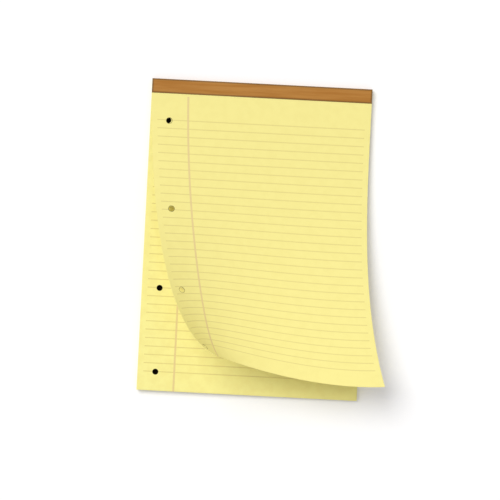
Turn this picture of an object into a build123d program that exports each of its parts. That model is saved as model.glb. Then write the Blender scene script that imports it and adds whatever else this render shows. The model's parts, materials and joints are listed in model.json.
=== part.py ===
from build123d import *
import os

# A4 legal pad: ruled sheets on a board, stitched and taped at the head, with the top sheet curled over.
# Lengths are in millimetres. The pad lies on its back with its head towards +Y and its face up.
# The origin is the centre of the board's back face.

# Sheets and board.
sheet_width = 210.0
sheet_length = 297.0
board_thickness = 1.0
block_thickness = 4.9
top_sheet_thickness = 0.2

# Tape folded round the head: the flap is its width on the face and on the back. On the back it is pressed
# into the board by its own thickness, so that the pad lies flat.
tape_thickness = 0.2
tape_flap = 13.5

# Holes for a ring binder down the left side. The row's middle is a share of the length below the head,
# and no hole comes nearer to the tape or the foot than the inset from the side.
hole_diameter = 5.5
hole_spacing = 80.0
hole_inset = 17.0
hole_middle_share = 0.536

# Flat wire stitches under the tape. Each has a crown on the face and two legs turned in on the back.
stitch_count = 2
stitch_crown = 12.0
stitch_turn = 4.5
wire_thickness = 0.4
wire_width = 0.6
wire_bend = 0.5
stitch_clearance = 0.05

# The curled part of the top sheet is a surface on a net of four rows, from the tape down to the foot.
# Each row has four points from left to right. A point's place is given as a share of the sheet's width
# from the left edge, a share of the free length below the tape, and a share of the lifted corner's height.
corner_lift = 100.0
across_shares = (
    (0.0, 1 / 3, 2 / 3, 1.0),
    (0.015, 0.345, 0.675, 1.0),
    (0.11, 0.27, 0.66, 0.99),
    (0.355, 0.28, 0.71, 1.105),
)
down_shares = (
    (0.0, 0.0, 0.0, 0.0),
    (0.33, 0.33, 0.33, 0.33),
    (0.78, 0.70, 0.69, 0.65),
    (0.845, 0.845, 0.96, 0.935),
)
lift_shares = (
    (0.0, 0.0, 0.0, 0.0),
    (0.0, 0.0, 0.0, 0.0),
    (0.50, 0.02, 0.05, 0.07),
    (1.0, 0.32, 0.54, 0.45),
)

# Places worked out from the sizes above.
left_x = -sheet_width / 2
head_y = sheet_length / 2
tape_edge_y = head_y - tape_flap
free_length = sheet_length - tape_flap
block_top = board_thickness + block_thickness
stack_top = block_top + top_sheet_thickness
bound_height = stack_top - tape_thickness
bound_middle = (stack_top + tape_thickness) / 2
hole_steps = int((free_length - 2 * hole_inset) // hole_spacing)
first_hole_drop = sheet_length * hole_middle_share - hole_spacing * hole_steps / 2
hole_drops = [first_hole_drop + hole_spacing * step for step in range(hole_steps + 1)]
punched_places = [Pos(left_x + hole_inset, head_y - drop) for drop in hole_drops]
stitch_spacing = sheet_width / stitch_count
stitch_row = Pos(left_x + stitch_spacing / 2, head_y - tape_flap / 2)
stitch_places = [stitch_row * Pos(stitch_spacing * step, 0) for step in range(stitch_count)]


def flat_layer(base_z, thickness):
    """A punched layer of the stack, the full size of a sheet."""
    outline = Rectangle(sheet_width, sheet_length)
    for place in punched_places:
        outline -= place * Circle(hole_diameter / 2)
    return Pos(0, 0, base_z) * extrude(outline, thickness)


def head_strip(base_z, thickness):
    """A layer of the strip along the head that the tape covers."""
    outline = Rectangle(sheet_width, tape_flap, align=(Align.CENTER, Align.MAX))
    return Pos(0, head_y, base_z) * extrude(outline, thickness)


def wire_stitch():
    """One stitch: a bent flat wire, flush with the stack's face and with the pressed strip of the board."""
    crown_end = stitch_crown / 2
    turn_end = crown_end - stitch_turn
    crown_z = stack_top - wire_thickness / 2
    turn_z = tape_thickness + wire_thickness / 2
    path = FilletPolyline(
        (-turn_end, turn_z),
        (-crown_end, turn_z),
        (-crown_end, crown_z),
        (crown_end, crown_z),
        (crown_end, turn_z),
        (turn_end, turn_z),
        radius=wire_bend,
    )
    profile = Plane.XZ * trace(path, wire_thickness)
    return extrude(profile, wire_width / 2, both=True)


def stitch_seat():
    """The room one stitch takes: a frame round the paper it holds, open at the back between its legs."""
    slot = wire_thickness + stitch_clearance
    inner_bend = wire_bend - wire_thickness / 2 - stitch_clearance
    middle = Pos(0, bound_middle)
    frame = middle * Rectangle(stitch_crown + wire_thickness + 2 * stitch_clearance, bound_height)
    held_width = stitch_crown - wire_thickness - 2 * stitch_clearance
    frame -= middle * RectangleRounded(held_width, bound_height - 2 * slot, inner_bend)
    gap = stitch_crown - 2 * stitch_turn - 2 * stitch_clearance
    frame -= Pos(0, tape_thickness) * Rectangle(gap, slot, align=(Align.CENTER, Align.MIN))
    return extrude(Plane.XZ * frame, wire_width / 2 + stitch_clearance, both=True)


def curled_sheet():
    """The top sheet: a flat strip under the tape, then the curled part, punched square to its surface."""
    net = []
    for across, down, lift in zip(across_shares, down_shares, lift_shares):
        row = []
        for x_share, y_share, z_share in zip(across, down, lift):
            x = left_x + sheet_width * x_share
            y = tape_edge_y - free_length * y_share
            row.append((x, y, block_top + corner_lift * z_share))
        net.append(row)
    surface = Face.make_bezier_surface(net)
    sheet = thicken(surface, top_sheet_thickness, normal_override=(0, 0, 1))
    sheet += head_strip(block_top, top_sheet_thickness)
    for drop in hole_drops:
        down_share = (drop - tape_flap) / free_length
        spot = surface.location_at(down_share, hole_inset / sheet_width)
        sheet -= spot * Cylinder(hole_diameter / 2, hole_diameter)
    return sheet


def folded_tape():
    """The tape: a thin wrap round the head of the stack, drawn from the side and cut off at its edges."""
    middle = Pos(tape_edge_y, bound_middle)
    stack = middle * Rectangle(2 * tape_flap, bound_height)
    wrap = offset(stack, tape_thickness, kind=Kind.ARC) - stack
    reach_height = bound_height + 2 * tape_thickness
    reach = Rectangle(tape_flap + tape_thickness, reach_height, align=(Align.MIN, Align.CENTER))
    profile = wrap & (middle * reach)
    return extrude(Plane.YZ * profile, sheet_width / 2, both=True)


seats = [place * stitch_seat() for place in stitch_places]
nodes = {
    "backing_board": flat_layer(0, board_thickness) - head_strip(0, tape_thickness) - seats,
    "page_block": flat_layer(board_thickness, block_thickness) - seats,
    "top_sheet": curled_sheet() - seats,
    "wire_stitches": Compound(children=[place * wire_stitch() for place in stitch_places]),
    "binding_tape": folded_tape(),
}

os.makedirs("parts", exist_ok=True)
for name, shape in nodes.items():
    export_step(shape, f"parts/{name}.step")
    print(f"{name}: {len(shape.solids())} solids, {shape.volume:.1f} mm3")
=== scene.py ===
# %% [markdown]
# # A ruled legal pad with its top sheet curled over
#
# A legal pad is a stack of yellow ruled sheets on a stiff board. Two wire stitches hold the stack at the
# head, and a folded strip of brown paper tape covers them. Here the top sheet is loose below the tape: its
# lower left corner has been picked up and curls over to the right.
#
# The measured model of the pad is loaded first. It gives the size and the place of everything that
# follows, so that each piece made here fits it. Lengths are in metres.

# %% Load the measured model
import json
import math
import random

import bpy
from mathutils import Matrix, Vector


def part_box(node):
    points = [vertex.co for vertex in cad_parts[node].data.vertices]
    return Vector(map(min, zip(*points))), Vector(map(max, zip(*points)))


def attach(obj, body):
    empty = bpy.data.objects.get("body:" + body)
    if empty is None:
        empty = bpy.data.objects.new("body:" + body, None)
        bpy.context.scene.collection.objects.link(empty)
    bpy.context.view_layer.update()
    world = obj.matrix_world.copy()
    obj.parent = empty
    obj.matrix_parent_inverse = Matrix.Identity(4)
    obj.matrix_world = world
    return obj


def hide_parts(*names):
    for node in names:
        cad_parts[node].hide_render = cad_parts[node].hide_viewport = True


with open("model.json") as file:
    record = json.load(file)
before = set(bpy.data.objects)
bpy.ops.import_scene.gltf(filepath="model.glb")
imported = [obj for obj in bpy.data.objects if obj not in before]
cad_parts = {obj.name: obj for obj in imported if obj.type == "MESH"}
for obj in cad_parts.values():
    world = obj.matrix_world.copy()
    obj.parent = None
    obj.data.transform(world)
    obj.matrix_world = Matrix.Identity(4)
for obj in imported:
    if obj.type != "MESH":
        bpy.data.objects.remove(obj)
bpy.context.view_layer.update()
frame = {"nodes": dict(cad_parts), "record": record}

print("measured pieces:", sorted(frame["nodes"]))

# %% Sizes taken from the measured model
stack_low, stack_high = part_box("page_block")
tape_low, tape_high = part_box("binding_tape")
sheet_width = stack_high.x - stack_low.x
sheet_length = stack_high.y - stack_low.y
stack_height = stack_high.z - stack_low.z
left_x = stack_low.x
head_y = stack_high.y
tape_edge_y = tape_low.y
strip_length = head_y - tape_edge_y
free_length = tape_edge_y - stack_low.y
holes = [mount for mount in frame["record"]["mounts"] if mount["kind"] == "bore"]
hole_places = [Vector(mount["pos_m"]) for mount in holes]
hole_radius = holes[0]["dims"]["r_mm"] / 1000
hole_spacing = hole_places[0].y - hole_places[1].y
print(f"sheet {sheet_width * 1000:.1f} by {sheet_length * 1000:.1f} mm, {len(holes)} holes")


# %% [markdown]
# ## Helpers for modelling
#
# An operator works on what is selected, and the loaded model is still selected. So every piece starts by
# letting go of everything. Modifiers are applied one at a time, as by hand: the result of each is the start
# of the next.

# %% Selecting objects and applying modifiers
def let_go():
    """Deselects everything, so that the next operator touches only what it makes."""
    bpy.ops.object.select_all(action="DESELECT")


def take(*objects):
    """Selects these objects alone. The first one becomes the active object."""
    let_go()
    for obj in objects:
        obj.select_set(True)
    bpy.context.view_layer.objects.active = objects[0]


def apply_modifier(obj, kind, **settings):
    """Adds one modifier to the object and applies it."""
    take(obj)
    bpy.ops.object.modifier_add(type=kind)
    modifier = obj.modifiers[-1]
    for name, value in settings.items():
        setattr(modifier, name, value)
    bpy.ops.object.modifier_apply(modifier=modifier.name)


def smooth(obj):
    """Shades the object smoothly, but for the edges where it turns a corner."""
    take(obj)
    bpy.ops.object.shade_smooth_by_angle(angle=math.radians(40))


# %% [markdown]
# In edit mode an operator works on the selected faces or edges. Some steps shape the whole mesh. Others pull
# on a few edges only, and these are found by where their two ends are.

# %% Working in edit mode
def edit_all(obj):
    """Opens the object in edit mode with all of it selected."""
    take(obj)
    bpy.ops.object.mode_set(mode="EDIT")
    bpy.ops.mesh.select_all(action="SELECT")


def edit_edges(obj, chosen):
    """Opens the object in edit mode with only those edges selected whose two ends pass the test."""
    take(obj)
    bpy.context.tool_settings.mesh_select_mode = (False, True, False)
    mesh = obj.data
    for part in (*mesh.vertices, *mesh.polygons):
        part.select = False
    for edge in mesh.edges:
        first, second = [mesh.vertices[end] for end in edge.vertices]
        edge.select = chosen(first.co, second.co)
        if edge.select:
            first.select = second.select = True
    bpy.ops.object.mode_set(mode="EDIT")


def leave_edit():
    """Goes back to object mode."""
    bpy.ops.object.mode_set(mode="OBJECT")


def face_up(obj, place):
    """Makes the faces agree, so that the face that is furthest on by its place looks up."""
    edit_all(obj)
    bpy.ops.mesh.normals_make_consistent(inside=False)
    leave_edit()
    guide = max(obj.data.polygons, key=lambda face: place(face.center))
    if guide.normal.z < 0:
        edit_all(obj)
        bpy.ops.mesh.flip_normals()
        leave_edit()


# %% [markdown]
# Two shapes are needed more than once: a flat rectangle of paper, and a round peg that punches a hole.

# %% Rectangles and punched holes
peg_sides = 40


def flat_sheet(name, width, length, centre):
    """A rectangle that lies flat, with its middle at the centre."""
    let_go()
    bpy.ops.mesh.primitive_plane_add(size=1, location=(0, 0, 0))
    obj = bpy.context.object
    obj.name = name
    edit_all(obj)
    bpy.ops.transform.resize(value=(width, length, 1))
    bpy.ops.transform.translate(value=centre)
    leave_edit()
    return obj


def new_peg(spot, length, turn=(0, 0, 0)):
    """A round peg as wide as a hole, with its middle at the spot."""
    let_go()
    bpy.ops.mesh.primitive_cylinder_add(
        vertices=peg_sides, radius=hole_radius, depth=length, location=spot, rotation=turn
    )
    return bpy.context.object


def punch(obj, pegs):
    """Cuts the pegs out of the object and takes the pegs away."""
    take(*pegs)
    bpy.ops.object.join()
    joined = bpy.context.object
    apply_modifier(obj, "BOOLEAN", operation="DIFFERENCE", solver="EXACT", object=joined)
    take(joined)
    bpy.ops.object.delete()


# %% [markdown]
# ## The stack of sheets
#
# The stack under the top sheet is about fifty loose sheets. A plain block would show smooth sides, where a
# real pad shows the edges of its sheets, none of them quite flush with the next. So one sheet is modelled: a
# plane, thickened and punched. It is then copied upwards, each copy pushed a fraction of a millimetre out of
# line. Between the sheets is a little air.

# %% One punched sheet
leaf_count = 49
paper_share = 0.94
leaf_pitch = stack_height / leaf_count
leaf_thickness = leaf_pitch * paper_share
leaf_base = stack_low.z + leaf_pitch - leaf_thickness

leaf = flat_sheet("sheet_stack", sheet_width, sheet_length, (0, 0, leaf_base))
apply_modifier(leaf, "SOLIDIFY", thickness=leaf_thickness, offset=1)
punch(leaf, [new_peg(place, 2 * stack_height) for place in hole_places])
print("one sheet:", len(leaf.data.polygons), "faces")

# %% Copies of the sheet, a little out of line
uneven = random.Random(4)
side_slip = 0.00012
foot_slip = 0.00025

leaves = [leaf]
for number in range(1, leaf_count):
    take(leaf)
    bpy.ops.object.duplicate()
    slip_x = uneven.uniform(-side_slip, side_slip)
    slip_y = -uneven.uniform(0, foot_slip)
    bpy.ops.transform.translate(value=(slip_x, slip_y, leaf_pitch * number))
    leaves.append(bpy.context.object)
take(*leaves)
bpy.ops.object.join()
stack = bpy.context.object
bpy.ops.object.transform_apply(location=True, rotation=True, scale=True)
print("stack:", len(stack.data.polygons), "faces in", leaf_count, "sheets")

# %% [markdown]
# ## The curled top sheet
#
# A sheet of paper bends in one sweep, with no kinks, so it is drawn as one smooth patch and not pushed into
# shape point by point. A NURBS patch with four rows of four points does this: the points are handles, and the
# surface follows them. The first two rows lie flat, which keeps the sheet flat where it leaves the tape. The
# last two lift the corner.
#
# Each handle is given by three shares: of the width from the left edge, of the free length below the tape,
# and of the corner's lift.

# %% The handles of the curl
corner_lift = 0.1
across_shares = (
    (0, 1 / 3, 2 / 3, 1),
    (0.015, 0.345, 0.675, 1),
    (0.11, 0.27, 0.66, 0.99),
    (0.355, 0.28, 0.71, 1.105),
)
down_shares = (
    (0, 0, 0, 0),
    (0.33, 0.33, 0.33, 0.33),
    (0.78, 0.70, 0.69, 0.65),
    (0.845, 0.845, 0.96, 0.935),
)
lift_shares = (
    (0, 0, 0, 0),
    (0, 0, 0, 0),
    (0.50, 0.02, 0.05, 0.07),
    (1, 0.32, 0.54, 0.45),
)

handles = []
for across, down, lift in zip(across_shares, down_shares, lift_shares):
    for x_share, y_share, z_share in zip(across, down, lift):
        x = left_x + sheet_width * x_share
        y = tape_edge_y - free_length * y_share
        handles.append(Vector((x, y, stack_high.z + corner_lift * z_share)))
print("handles:", len(handles))

# %% The patch, turned into a mesh
let_go()
bpy.ops.surface.primitive_nurbs_surface_surface_add(location=(0, 0, 0))
sheet = bpy.context.object
sheet.name = "curled_sheet"
patch = sheet.data.splines[0]
patch.use_endpoint_u = patch.use_endpoint_v = True
patch.resolution_u = patch.resolution_v = 24
for point, handle in zip(patch.points, handles):
    point.co = (*handle, 1)
bpy.ops.object.convert(target="MESH")
sheet = bpy.context.object
print("patch:", len(sheet.data.vertices), "points, UV map", sheet.data.uv_layers[0].name)


# %% [markdown]
# The printed lines have to follow the curl, so they will be read from the UV map. A patch makes one by itself,
# but paper bends and doesn't stretch, and the patch's own shares run a little fast where its handles are far
# apart. So the UV map is measured anew along the surface. Across, each point gets its share of the row's
# length. Down, it gets the real distance from the tape, so that the lines keep their pitch where the sheet
# lies flat. A column that comes out short of the sheet's length makes up for it near the foot, where it curls.

# %% The UV map, measured along the surface
def lengths_along(points):
    """The distance along the line from its first point to each of its points."""
    runs = [0.0]
    for before, after in zip(points, points[1:]):
        runs.append(runs[-1] + (after - before).length)
    return runs


side_count = round(math.sqrt(len(sheet.data.vertices)))
spots = [vertex.co.copy() for vertex in sheet.data.vertices]
column_runs = [lengths_along(spots[side_count * c : side_count * (c + 1)]) for c in range(side_count)]
row_runs = [lengths_along(spots[r::side_count]) for r in range(side_count)]
uv_map = sheet.data.uv_layers[0]
for loop in sheet.data.loops:
    column, row = divmod(loop.vertex_index, side_count)
    run = column_runs[column][row]
    column_length = column_runs[column][-1]
    made_up = (free_length - column_length) * (run / column_length) ** 3
    across = row_runs[row][column] / row_runs[row][-1]
    uv_map.data[loop.index].uv = (across, (run + made_up) / free_length)
print("UV map measured over", side_count, "columns")

# %% [markdown]
# The patch ends at the tape. The strip below the tape is drawn on by pulling the patch's upper edge out to
# the head. Then the sheet gets its thickness, upwards, because its underside rests on the stack.

# %% The strip under the tape, and the thickness
sheet_thickness = 0.0002
touching = 1e-6


def along_tape_edge(first, second):
    """True for an edge of the mesh that lies along the tape's lower edge."""
    return all(abs(end.y - tape_edge_y) < touching for end in (first, second))


edit_edges(sheet, along_tape_edge)
bpy.ops.mesh.extrude_edges_move(TRANSFORM_OT_translate={"value": (0, strip_length, 0)})
leave_edit()
face_up(sheet, lambda centre: centre.y)
apply_modifier(sheet, "SOLIDIFY", thickness=sheet_thickness, offset=1)
print("sheet:", len(sheet.data.polygons), "faces")


# %% [markdown]
# The sheet was punched with the others while it lay flat, so its holes have gone up with the curl and stand
# square to the paper. Each peg is set on the patch at the hole's share across and down, and turned along the
# patch's normal there. The normal comes from two short steps on the patch, one across and one up.

# %% Points on the curl
def weights(share):
    """How much each of four handles counts at a share of the way along them."""
    rest = 1 - share
    return (rest**3, 3 * share * rest**2, 3 * share**2 * rest, share**3)


def on_curl(across, down):
    """The point of the patch at a share across and a share down."""
    spot = Vector((0, 0, 0))
    for row, row_weight in enumerate(weights(down)):
        for column, column_weight in enumerate(weights(across)):
            spot += handles[4 * row + column] * row_weight * column_weight
    return spot


def curl_normal(across, down, step=0.001):
    """The direction square to the patch, on the side of the sheet's face."""
    along = on_curl(across + step, down) - on_curl(across - step, down)
    up = on_curl(across, down - step) - on_curl(across, down + step)
    return along.cross(up).normalized()


# %% The holes in the curl
pegs = []
curl_holes = []
for place in hole_places:
    across = (place.x - left_x) / sheet_width
    down = (tape_edge_y - place.y) / free_length
    spot = on_curl(across, down)
    turn = curl_normal(across, down).to_track_quat("Z", "Y").to_euler()
    pegs.append(new_peg(spot, 2 * hole_radius, turn))
    curl_holes.append(spot)
punch(sheet, pegs)
smooth(sheet)
print("punched sheet:", len(sheet.data.polygons), "faces")

# %% [markdown]
# ## The binding tape
#
# The tape is a strip of strong paper glued over the head: a flap on the face, a fold down the head, a flap on
# the back. It is folded here as it is on the real pad. The front flap is a plane, its head edge is pulled down
# over the stack, and the new edge is pulled back under the board. The two folds are rounded, since thick paper
# can't turn a sharp corner, and the strip is thickened inwards.

# %% The tape, folded
flap = tape_high.y - tape_low.y
fold_height = tape_high.z - tape_low.z
flap_middle = (0, (tape_high.y + tape_low.y) / 2, tape_high.z)


def along_head(first, second):
    """True for an edge of the mesh that runs along the head from side to side."""
    at_head = all(abs(end.y - tape_high.y) < touching for end in (first, second))
    return at_head and abs(first.z - second.z) < touching


tape = flat_sheet("folded_tape", tape_high.x - tape_low.x, flap, flap_middle)
edit_edges(tape, along_head)
bpy.ops.mesh.extrude_edges_move(TRANSFORM_OT_translate={"value": (0, 0, -fold_height)})
bpy.ops.mesh.extrude_edges_move(TRANSFORM_OT_translate={"value": (0, -flap, 0)})
leave_edit()
face_up(tape, lambda centre: centre.z)
print("tape folded from", len(tape.data.polygons), "faces")

# %% The folds rounded, and the thickness
tape_thickness = 0.0002
fold_radius = 0.00055

edit_edges(tape, along_head)
bpy.ops.mesh.bevel(offset=fold_radius, segments=5, affect="EDGES")
leave_edit()
apply_modifier(tape, "SOLIDIFY", thickness=tape_thickness, offset=-1, use_even_offset=True)
smooth(tape)
print("tape:", len(tape.data.polygons), "faces")


# %% [markdown]
# ## Helpers for materials
#
# A material is a tree of small nodes. These helpers add one node each and give back its output, so that the
# materials below read from top to bottom like sums.

# %% Colours and links
def linear(red, green, blue):
    """A colour as it is seen on a screen, from 0 to 255, as the linear colour that a material takes."""
    shares = [value / 255 for value in (red, green, blue)]
    return (*[s / 12.92 if s <= 0.04045 else ((s + 0.055) / 1.055) ** 2.4 for s in shares], 1)


def put(tree, target, value):
    """Links a socket to the target, or sets the target to a plain value."""
    if isinstance(value, bpy.types.NodeSocket):
        tree.links.new(value, target)
    else:
        target.default_value = value


def blend(tree, factor, first, second):
    """A Mix Color node on sockets or colours."""
    node = tree.nodes.new("ShaderNodeMix")
    node.data_type = "RGBA"
    put(tree, node.inputs[0], factor)
    put(tree, node.inputs[6], first)
    put(tree, node.inputs[7], second)
    return node.outputs[2]


# %% Numbers and places
def calc(tree, operation, *values):
    """A Math node on sockets or numbers."""
    node = tree.nodes.new("ShaderNodeMath")
    node.operation = operation
    for socket, value in zip(node.inputs, values):
        put(tree, socket, value)
    return node.outputs["Value"]


def diagonal(tree, first, second):
    """The length of the diagonal over two sides."""
    squares = [calc(tree, "MULTIPLY", side, side) for side in (first, second)]
    return calc(tree, "SQRT", calc(tree, "ADD", *squares))


def remap(tree, value, start, end, to_start, to_end):
    """A smooth step of the value from one range to another."""
    node = tree.nodes.new("ShaderNodeMapRange")
    node.interpolation_type = "SMOOTHSTEP"
    settings = {"From Min": start, "From Max": end, "To Min": to_start, "To Max": to_end}
    for name, setting in settings.items():
        node.inputs[name].default_value = setting
    put(tree, node.inputs["Value"], value)
    return node.outputs["Result"]


def split(tree, vector):
    """The three parts of a vector."""
    node = tree.nodes.new("ShaderNodeSeparateXYZ")
    tree.links.new(vector, node.inputs["Vector"])
    return node.outputs["X"], node.outputs["Y"], node.outputs["Z"]


def stretched(tree, vector, scale):
    """The vector with a scale of its own on each axis."""
    node = tree.nodes.new("ShaderNodeMapping")
    node.inputs["Scale"].default_value = scale
    tree.links.new(vector, node.inputs["Vector"])
    return node.outputs["Vector"]


def noise(tree, vector, scale, detail, distortion=0.0):
    """A Noise Texture, from about 0.3 to 0.7."""
    node = tree.nodes.new("ShaderNodeTexNoise")
    put(tree, node.inputs["Scale"], scale)
    node.inputs["Detail"].default_value = detail
    node.inputs["Distortion"].default_value = distortion
    tree.links.new(vector, node.inputs["Vector"])
    return node.outputs["Fac"]


# %% Groups and materials
def new_group(name, inputs, outputs):
    """An empty node group with these named sockets. Gives the group, its inputs and its outputs."""
    group = bpy.data.node_groups.new(name, "ShaderNodeTree")
    for socket_name, kind in inputs.items():
        group.interface.new_socket(socket_name, in_out="INPUT", socket_type=kind)
    for socket_name, kind in outputs.items():
        group.interface.new_socket(socket_name, in_out="OUTPUT", socket_type=kind)
    entry = group.nodes.new("NodeGroupInput")
    leave = group.nodes.new("NodeGroupOutput")
    return group, entry.outputs, leave.inputs


def use(tree, group, inputs):
    """Sets a node group into a material and gives its outputs."""
    node = tree.nodes.new("ShaderNodeGroup")
    node.node_tree = group
    for name, value in inputs.items():
        put(tree, node.inputs[name], value)
    return node.outputs


def new_material(name):
    """A material with one shader. Gives it, its nodes, its shader and its Object coordinates."""
    material = bpy.data.materials.new(name)
    material.use_nodes = True
    tree = material.node_tree
    shader = tree.nodes["Principled BSDF"]
    place = tree.nodes.new("ShaderNodeTexCoord").outputs["Object"]
    return material, tree, shader, place


def bump(tree, shader, height, depth, strength):
    """Turns a height into relief on the shader."""
    node = tree.nodes.new("ShaderNodeBump")
    node.inputs["Strength"].default_value = strength
    node.inputs["Distance"].default_value = depth
    tree.links.new(height, node.inputs["Height"])
    tree.links.new(node.outputs["Normal"], shader.inputs["Normal"])


def dress(obj, material):
    """Gives the object this material alone."""
    obj.data.materials.clear()
    obj.data.materials.append(material)
    print("material:", material.name, "on", obj.name)


# %% [markdown]
# ## Effects that materials share
#
# Paper isn't a flat colour. Held to the light it is cloudy, and close up it is a felt of fibres. Tape and
# board are paper too, only coarser. So the clouds and the fibres are made once, as a node group, and each
# material sets its own scale on it.

# %% The felt of fibres
felt, given, gives = new_group(
    "Paper Felt",
    {"Vector": "NodeSocketVector", "Fibre Scale": "NodeSocketFloat", "Cloud Scale": "NodeSocketFloat"},
    {"Clouds": "NodeSocketFloat", "Fibres": "NodeSocketFloat"},
)
clouds = noise(felt, given["Vector"], given["Cloud Scale"], detail=3)
fibres = noise(felt, given["Vector"], given["Fibre Scale"], detail=4, distortion=2.5)
felt.links.new(clouds, gives["Clouds"])
felt.links.new(fibres, gives["Fibres"])
print("group:", felt.name)

# %% [markdown]
# ### The ruling
#
# The sheets are ruled by machine: thirty-one thin lines at an even pitch, stopping short of both sides, and
# one broader margin line from just below the tape to the foot. The ruling only needs to know how far a point
# of the paper is from the left edge and from the head. On the flat stack that is read from the place itself,
# and on the curl from the UV map.

# %% The ruled lines
line_pitch = 0.008
first_line = 0.039
line_count = 31
line_width = 0.0009
line_inset = 0.0055
soft_edge = 0.0001

ruling, given, gives = new_group(
    "Ruling",
    {"Across": "NodeSocketFloat", "Down": "NodeSocketFloat"},
    {"Lines": "NodeSocketFloat", "Margin": "NodeSocketFloat"},
)
below_start = calc(ruling, "SUBTRACT", given["Down"], first_line - line_pitch / 2)
step_count = calc(ruling, "DIVIDE", below_start, line_pitch)
from_line = calc(ruling, "ABSOLUTE", calc(ruling, "SUBTRACT", calc(ruling, "FRACT", step_count), 0.5))
half_line = line_width / 2 / line_pitch
on_line = remap(ruling, from_line, half_line, half_line + soft_edge / line_pitch, 1, 0)
below_first = calc(ruling, "GREATER_THAN", step_count, 0)
above_last = calc(ruling, "LESS_THAN", step_count, line_count)
past_left = calc(ruling, "GREATER_THAN", given["Across"], line_inset)
before_right = calc(ruling, "LESS_THAN", given["Across"], sheet_width - line_inset)
rows = calc(ruling, "MULTIPLY", below_first, above_last)
columns = calc(ruling, "MULTIPLY", past_left, before_right)
lines = calc(ruling, "MULTIPLY", on_line, calc(ruling, "MULTIPLY", rows, columns))
ruling.links.new(lines, gives["Lines"])
print("group:", ruling.name, "with", line_count, "lines")

# %% The margin line
margin_inset = 0.035
margin_width = 0.0018
margin_gap = 0.0025

from_margin = calc(ruling, "ABSOLUTE", calc(ruling, "SUBTRACT", given["Across"], margin_inset))
on_margin = remap(ruling, from_margin, margin_width / 2, margin_width / 2 + soft_edge, 1, 0)
below_tape = calc(ruling, "GREATER_THAN", given["Down"], strip_length + margin_gap)
ruling.links.new(calc(ruling, "MULTIPLY", on_margin, below_tape), gives["Margin"])
print("group:", ruling.name, "with its margin")

# %% [markdown]
# ### The drilled holes
#
# The holes are drilled through the whole stack at once. Their walls are painted dark, as painted shade, so
# that a hole looks black. The holes stand in an even row: the distance along the row is folded back to one
# step, and one circle then serves for all of them.

# %% The painted shade in the holes
hole_shade_width = 0.00025

hole_shade_group, given, gives = new_group(
    "Painted Hole Shade",
    {"Vector": "NodeSocketVector"},
    {"Wall": "NodeSocketFloat"},
)
x, y, _ = split(hole_shade_group, given["Vector"])
first_hole = hole_places[0]
fold_start = first_hole.y - hole_spacing / 2
fold_end = first_hole.y + hole_spacing / 2
from_row = calc(hole_shade_group, "SUBTRACT", x, first_hole.x)
from_hole = calc(hole_shade_group, "SUBTRACT", calc(hole_shade_group, "WRAP", y, fold_end, fold_start), first_hole.y)
distance = diagonal(hole_shade_group, from_row, from_hole)
wall = remap(hole_shade_group, distance, hole_radius, hole_radius + hole_shade_width, 1, 0)
hole_shade_group.links.new(wall, gives["Wall"])
print("group:", hole_shade_group.name)


# %% [markdown]
# ## The paper
#
# The stack and the curled sheet are the same paper, so one function makes both. They differ in how they find
# their place on the sheet. The sheets of the stack are also painted a lighter yellow, as painted light that
# offsets the shade and the warm bounce that the curl puts on them.

# %% Ruled paper
paper_colour = linear(248, 237, 150)
# Painted light: the stack's yellow is a lighter copy of the top sheet's.
painted_light_stack_colour = linear(251, 243, 157)
cloud_colour = linear(244, 232, 145)
line_colour = linear(229, 215, 136)
margin_colour = linear(231, 208, 146)


def ruled_paper(name, tone, across_down):
    """Ruled paper of this yellow. across_down gives the two distances on the sheet."""
    material, tree, shader, place = new_material(name)
    across, down = across_down(tree, place)
    texture = use(tree, felt, {"Vector": place, "Fibre Scale": 900.0, "Cloud Scale": 130.0})
    marks = use(tree, ruling, {"Across": across, "Down": down})
    colour = blend(tree, remap(tree, texture["Clouds"], 0.35, 0.7, 0, 0.5), tone, cloud_colour)
    ink = remap(tree, texture["Fibres"], 0.3, 0.65, 0.7, 1)
    colour = blend(tree, calc(tree, "MULTIPLY", marks["Lines"], ink), colour, line_colour)
    colour = blend(tree, calc(tree, "MULTIPLY", marks["Margin"], ink), colour, margin_colour)
    bump(tree, shader, texture["Fibres"], depth=0.00004, strength=0.25)
    tree.links.new(remap(tree, texture["Fibres"], 0.3, 0.7, 0.72, 0.9), shader.inputs["Roughness"])
    shader.inputs["Specular IOR Level"].default_value = 0.2
    return material, tree, shader, place, colour


# %% Two ways to find the place on a sheet
def on_stack(tree, place):
    """The distances on a sheet that lies flat, from its place."""
    x, y, _ = split(tree, place)
    return calc(tree, "SUBTRACT", x, left_x), calc(tree, "SUBTRACT", head_y, y)


def on_sheet(tree, place):
    """The distances on the curled sheet, from its UV map."""
    uv = tree.nodes.new("ShaderNodeUVMap")
    uv.uv_map = sheet.data.uv_layers[0].name
    across, down, _ = split(tree, uv.outputs["UV"])
    below_tape = calc(tree, "MULTIPLY", down, free_length)
    return calc(tree, "MULTIPLY", across, sheet_width), calc(tree, "ADD", below_tape, strip_length)


# %% [markdown]
# The curled sheet's holes get a painted shade too: a dark ring round each hole. Each hole is where its peg
# stood, so the distance to the nearest peg gives the ring.

# %% The paper of the curled sheet
painted_shade_colour = linear(34, 28, 14)
rim_width = 0.0005

sheet_material, tree, shader, place, colour = ruled_paper("Ruled paper, curled", paper_colour, on_sheet)
from_peg = sheet_length
for spot in curl_holes:
    reach = tree.nodes.new("ShaderNodeVectorMath")
    reach.operation = "DISTANCE"
    tree.links.new(place, reach.inputs[0])
    reach.inputs[1].default_value = spot
    from_peg = calc(tree, "MINIMUM", reach.outputs["Value"], from_peg)
# Painted shade: a dark ring round each hole of the curled sheet.
rim = remap(tree, from_peg, hole_radius + rim_width / 2, hole_radius + rim_width, 0.7, 0)
tree.links.new(blend(tree, rim, colour, painted_shade_colour), shader.inputs["Base Color"])
dress(sheet, sheet_material)

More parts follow.
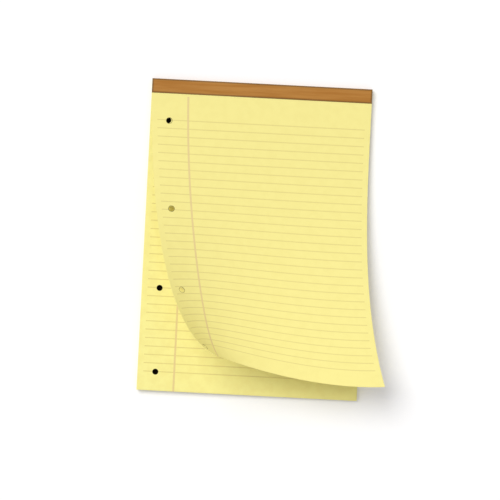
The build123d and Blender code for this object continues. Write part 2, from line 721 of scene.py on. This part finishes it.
# %% [markdown]
# On the sides of the stack the light catches the edge of each sheet a little differently. The height inside
# the stack says which sheet a point belongs to, and a white noise on that number gives every sheet its own
# tone.

# %% The paper of the stack
shaded_colour = linear(206, 188, 104)

stack_material, tree, shader, place, colour = ruled_paper("Ruled paper, stacked", painted_light_stack_colour, on_stack)
_, _, z = split(tree, place)
height = calc(tree, "SUBTRACT", z, stack_low.z)
own_tone = tree.nodes.new("ShaderNodeTexWhiteNoise")
own_tone.noise_dimensions = "1D"
tree.links.new(calc(tree, "FLOOR", calc(tree, "DIVIDE", height, leaf_pitch)), own_tone.inputs["W"])
edge_tone = remap(tree, own_tone.outputs["Value"], 0, 1, 0.05, 0.85)
edge_colour = blend(tree, edge_tone, painted_light_stack_colour, shaded_colour)
_, _, normal_up = split(tree, tree.nodes.new("ShaderNodeNewGeometry").outputs["True Normal"])
on_side = calc(tree, "LESS_THAN", calc(tree, "ABSOLUTE", normal_up), 0.5)
colour = blend(tree, on_side, colour, edge_colour)
# Painted shade: the walls of the holes are painted dark.
colour = blend(tree, use(tree, hole_shade_group, {"Vector": place})["Wall"], colour, painted_shade_colour)
tree.links.new(colour, shader.inputs["Base Color"])
dress(stack, stack_material)

# %% [markdown]
# ## The kraft tape
#
# The tape is kraft paper: its fibres lie along the strip and show as fine streaks. They are the same felt,
# stretched along the tape.

# %% The streaks of the tape
tape_material, tree, shader, place = new_material("Kraft tape")
along_strip = stretched(tree, place, (0.05, 1, 1))
streaks = use(tree, felt, {"Vector": along_strip, "Fibre Scale": 1500.0, "Cloud Scale": 420.0})
cloudy = remap(tree, streaks["Clouds"], 0.3, 0.7, 0, 1)
streaky = remap(tree, streaks["Fibres"], 0.5, 0.75, 0, 0.5)
kraft_colour = blend(tree, cloudy, linear(185, 127, 50), linear(172, 113, 38))
kraft_colour = blend(tree, streaky, kraft_colour, linear(158, 104, 44))
bump(tree, shader, streaks["Fibres"], depth=0.00005, strength=0.4)
tree.links.new(remap(tree, streaks["Clouds"], 0.3, 0.7, 0.5, 0.7), shader.inputs["Roughness"])
shader.inputs["Specular IOR Level"].default_value = 0.3
print("streaks along", tape.name)

# %% [markdown]
# The tape's cut edges and its folds are painted dark, as painted shade. A point's distance from the nearest
# edge or fold gives the painted shade, and the fibres break it up.

# %% The painted shade on the edges of the tape
edge_shade_width = 0.0005
edge_shade_fades_by = 0.0022
middle_z = (tape_low.z + tape_high.z) / 2

x, y, z = split(tree, place)
from_end = calc(tree, "SUBTRACT", sheet_width / 2, calc(tree, "ABSOLUTE", x))
from_cut = calc(tree, "SUBTRACT", y, tape_low.y)
from_head = calc(tree, "SUBTRACT", tape_high.y, y)
from_middle = calc(tree, "ABSOLUTE", calc(tree, "SUBTRACT", z, middle_z))
from_face = calc(tree, "SUBTRACT", fold_height / 2, from_middle)
from_fold = diagonal(tree, from_head, from_face)
from_edge = calc(tree, "MINIMUM", calc(tree, "MINIMUM", from_end, from_cut), from_fold)
fibre_breakup = remap(tree, streaks["Fibres"], 0.3, 0.6, 0.75, 1)
edge_shade = calc(tree, "MULTIPLY", remap(tree, from_edge, edge_shade_width, edge_shade_fades_by, 0.8, 0), fibre_breakup)
# Painted shade along the cut edges and the folds of the tape.
colour = blend(tree, edge_shade, kraft_colour, linear(104, 78, 34))
tree.links.new(colour, shader.inputs["Base Color"])
dress(tape, tape_material)

# %% [markdown]
# ## The board and the stitches
#
# The board is pressed from waste paper, so it is grey-brown and full of flecks. Its shape in the measured
# model is right as it is, and so is that of the two stitches: they stay and only get their materials.

# %% The grey board
board = frame["nodes"]["backing_board"]
board_material, tree, shader, place = new_material("Grey board")
texture = use(tree, felt, {"Vector": place, "Fibre Scale": 700.0, "Cloud Scale": 90.0})
cloudy = remap(tree, texture["Clouds"], 0.3, 0.7, 0, 1)
dark_flecks = remap(tree, texture["Fibres"], 0.55, 0.72, 0, 0.7)
pale_flecks = remap(tree, texture["Fibres"], 0.42, 0.28, 0, 0.6)
colour = blend(tree, cloudy, linear(147, 134, 115), linear(139, 127, 109))
colour = blend(tree, dark_flecks, colour, linear(96, 86, 74))
colour = blend(tree, pale_flecks, colour, linear(196, 186, 168))
# Painted shade: the walls of the holes are painted dark.
colour = blend(tree, use(tree, hole_shade_group, {"Vector": place})["Wall"], colour, painted_shade_colour)
tree.links.new(colour, shader.inputs["Base Color"])
bump(tree, shader, texture["Fibres"], depth=0.0001, strength=0.5)
tree.links.new(remap(tree, texture["Fibres"], 0.3, 0.7, 0.8, 0.95), shader.inputs["Roughness"])
shader.inputs["Specular IOR Level"].default_value = 0.2
dress(board, board_material)

# %% The drawn wire
stitches = frame["nodes"]["wire_stitches"]
wire_material, tree, shader, place = new_material("Drawn wire")
scratches = noise(tree, stretched(tree, place, (0.1, 1, 1)), 9000.0, detail=3)
scratched = remap(tree, scratches, 0.3, 0.7, 0, 1)
colour = blend(tree, scratched, linear(176, 176, 180), linear(146, 146, 152))
tree.links.new(colour, shader.inputs["Base Color"])
tree.links.new(remap(tree, scratches, 0.3, 0.7, 0.25, 0.45), shader.inputs["Roughness"])
shader.inputs["Metallic"].default_value = 1
dress(stitches, wire_material)

# %% [markdown]
# ## Fitting the pieces to the pad
#
# Nothing on a pad moves by itself, so all its pieces ride on one body. The three new pieces stand in for the
# measured ones.

# %% Pieces on the pad
for piece, node, finish in (
    (stack, "page_block", "paper"),
    (sheet, "top_sheet", "sheet"),
    (tape, "binding_tape", "tape"),
):
    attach(piece, "root")
    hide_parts(node)
print("pieces:", stack.name, sheet.name, tape.name)

# %% [markdown]
# ## Floor, light and camera
#
# The pad lies on a white floor, seen from straight above. Under the pad the floor is painted dark, as painted
# shade where no light gets in, and it shows only through the holes. The camera sees the rest of the floor a
# touch brighter than it is lit, so that it comes out white.

# %% The floor
floor_size = 8.0
floor_drop = 0.0001
dark_inset = 0.005
floor_lift = 0.05
white = (1, 1, 1, 1)

let_go()
bpy.ops.mesh.primitive_plane_add(size=floor_size, location=(0, 0, -floor_drop))
floor = bpy.context.object
floor.name = "floor"
floor_material, tree, shader, place = new_material("White floor")
x, y, _ = split(tree, place)
under_x = calc(tree, "LESS_THAN", calc(tree, "ABSOLUTE", x), sheet_width / 2 - dark_inset)
under_y = calc(tree, "LESS_THAN", calc(tree, "ABSOLUTE", y), sheet_length / 2 - dark_inset)
under_pad = calc(tree, "MULTIPLY", under_x, under_y)
# Painted shade: the floor's colour is dark under the pad.
tree.links.new(blend(tree, under_pad, white, painted_shade_colour), shader.inputs["Base Color"])
shader.inputs["Roughness"].default_value = 1
shader.inputs["Specular IOR Level"].default_value = 0
path = tree.nodes.new("ShaderNodeLightPath")
beside_pad = calc(tree, "SUBTRACT", 1.0, under_pad)
seen_floor = calc(tree, "MULTIPLY", path.outputs["Is Camera Ray"], beside_pad)
tree.links.new(calc(tree, "MULTIPLY", seen_floor, floor_lift), shader.inputs["Emission Strength"])
shader.inputs["Emission Color"].default_value = white
dress(floor, floor_material)

# %% [markdown]
# A broad sun from the upper left gives one soft shadow to the lower right, and a pale sky fills it. A white
# surface that faces up gives back about as much light as it takes from both together, so colours come out as
# they are written. The camera itself sees the sky as plain white.

# %% The sky
sky_level = 0.54
sky_colour = (0.935, 0.935, 1, 1)

world = bpy.data.worlds.new("Pale sky")
bpy.context.scene.world = world
world.use_nodes = True
tree = world.node_tree
fill = tree.nodes["Background"]
fill.inputs["Color"].default_value = sky_colour
fill.inputs["Strength"].default_value = sky_level
seen_sky = tree.nodes.new("ShaderNodeBackground")
seen_sky.inputs["Color"].default_value = white
path = tree.nodes.new("ShaderNodeLightPath")
choose = tree.nodes.new("ShaderNodeMixShader")
tree.links.new(path.outputs["Is Camera Ray"], choose.inputs["Fac"])
tree.links.new(fill.outputs["Background"], choose.inputs[1])
tree.links.new(seen_sky.outputs["Background"], choose.inputs[2])
tree.links.new(choose.outputs["Shader"], tree.nodes["World Output"].inputs["Surface"])
print("sky level", sky_level)

# %% The sun
sun_level = 0.49
sun_height = math.radians(55)
sun_side = math.radians(135)
sun_spread = math.radians(36)

towards_sun = Vector((
    math.cos(sun_height) * math.cos(sun_side),
    math.cos(sun_height) * math.sin(sun_side),
    math.sin(sun_height),
))
let_go()
bpy.ops.object.light_add(type="SUN", rotation=towards_sun.to_track_quat("Z", "Y").to_euler())
sun = bpy.context.object
sun.data.energy = sun_level * math.pi / math.sin(sun_height)
sun.data.angle = sun_spread
sun.data.color = (1, 0.99, 0.95)
print(f"sun strength {sun.data.energy:.2f}")

# %% [markdown]
# The camera looks straight down. It is turned a little, so that the pad lies askew in the picture, and it
# stands high, so that the lifted corner isn't much enlarged.

# %% The camera, straight above
camera_height = 1.4
camera_x = -0.0038
camera_y = -0.0102
camera_turn = math.radians(2.95)
picture_width = 0.4767

let_go()
bpy.ops.object.camera_add(
    location=(camera_x, camera_y, stack_high.z + camera_height), rotation=(0, 0, camera_turn)
)
camera = bpy.context.object
camera.data.lens = camera.data.sensor_width * camera_height / picture_width
bpy.context.scene.camera = camera
bpy.context.scene.view_settings.view_transform = "Standard"
print(f"lens {camera.data.lens:.1f} mm")
